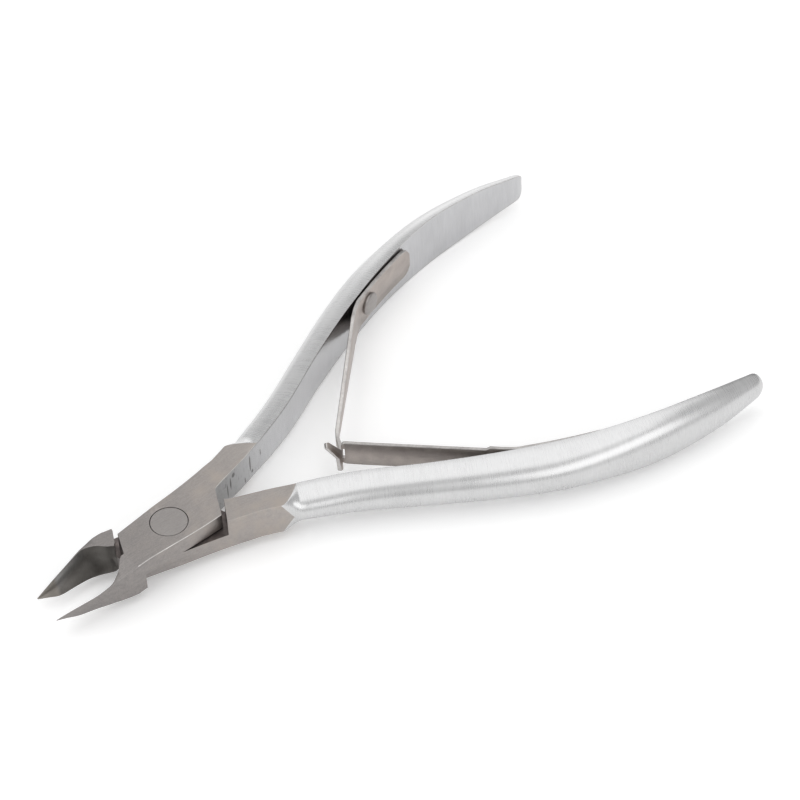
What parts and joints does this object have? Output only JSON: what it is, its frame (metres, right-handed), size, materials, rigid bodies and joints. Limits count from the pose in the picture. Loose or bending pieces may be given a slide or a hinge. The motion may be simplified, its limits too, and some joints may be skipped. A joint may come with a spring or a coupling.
{
  "type": "cuticle nipper",
  "caption": "Steel cuticle nipper: curved D-section levers crossed in a half-lap joint on a flush rivet, hollow-ground pointed jaws, and interlocking leaf springs that push the handles open",
  "frame": {"origin": "where the pivot axis meets the joint's lower ground face, on the flush lower end of the pivot rivet", "axes": "+X along the centreline towards the handle ends, +Y towards the side of the upper lever's handle, +Z the pivot axis, from the lower lap plate to the upper one"},
  "size_m": [0.099, 0.0576, 0.0082],
  "materials": {
    "ground_steel": "satin ground and fine-brushed stainless steel, brighter on the rounded handles",
    "spring_steel": "dull rolled spring strip, brownish grey with bright edges",
    "rivet_steel": "peened and ground flush"
  },
  "bodies": {
    "lower_half": {"lower_lever": "ground_steel", "pivot_rivet": "rivet_steel", "lower_spring_rivet": "rivet_steel"},
    "upper_half": {"upper_lever": "ground_steel", "upper_spring_rivet": "rivet_steel"},
    "upper_leaf": {"upper_leaf_spring": "spring_steel"},
    "lower_leaf": {"lower_leaf_spring": "spring_steel"}
  },
  "joints": [
    {"name": "jaw_pivot", "type": "hinge", "parent": "lower_half", "child": "upper_half", "pos_m": [0, 0, 0], "axis": [0, 0, -1], "range_deg": [-2.5, 12.5], "stiffness_Nm_per_rad": 0.5},
    {"name": "upper_leaf_flex", "type": "hinge", "parent": "upper_half", "child": "upper_leaf", "pos_m": [0.0426, 0.0174, 0.0025], "axis": [0, 0, -1], "range_deg": [-1.6, 7.3], "deforming": ["upper_leaf_spring"]},
    {"name": "lower_leaf_flex", "type": "hinge", "parent": "lower_half", "child": "lower_leaf", "pos_m": [0.0426, -0.0174, 0.0025], "axis": [0, 0, 1], "range_deg": [-2.3, 11.1], "deforming": ["lower_leaf_spring"]}
  ],
  "couplings": [
    {"joint": "upper_leaf_flex", "follows": "jaw_pivot", "ratio": 0.57},
    {"joint": "lower_leaf_flex", "follows": "jaw_pivot", "ratio": 0.87}
  ]
}
